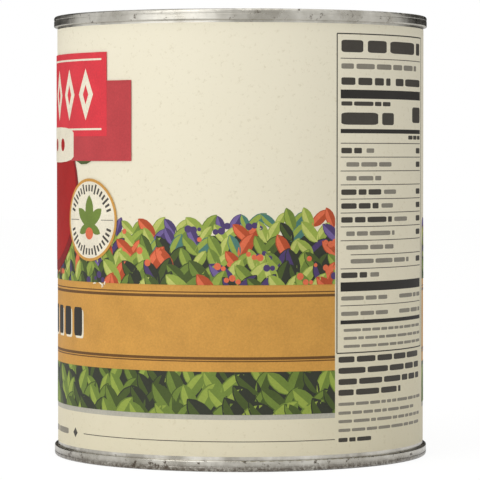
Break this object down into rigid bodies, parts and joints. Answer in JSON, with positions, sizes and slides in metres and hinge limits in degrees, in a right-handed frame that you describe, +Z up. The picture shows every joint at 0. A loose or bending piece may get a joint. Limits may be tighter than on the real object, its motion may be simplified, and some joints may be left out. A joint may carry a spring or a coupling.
{
  "type": "tin of tomatoes",
  "caption": "Tall round steel can of tomatoes, shut at both ends by a rolled seam, with a printed paper label wrapped round its plain body.",
  "frame": {"origin": "centre of the foot, on the plane of the lower seam that the can stands on", "axes": "+Z up the can's axis; the picture side of the label, between the pack front and the facts panel, faces -Y"},
  "size_m": [0.1017, 0.1016, 0.1191],
  "materials": {
    "tinplate_body": "bright tinplate, drawn lengthwise, a little scuffed",
    "tinplate_ends": "bright tinplate, pressed and rolled, worn and nicked along the seams",
    "label_paper": "cream coated paper with matt print"
  },
  "bodies": {
    "root": {"can_body": "tinplate_body", "top_end": "tinplate_ends", "bottom_end": "tinplate_ends", "paper_label": "label_paper"}
  },
  "joints": []
}
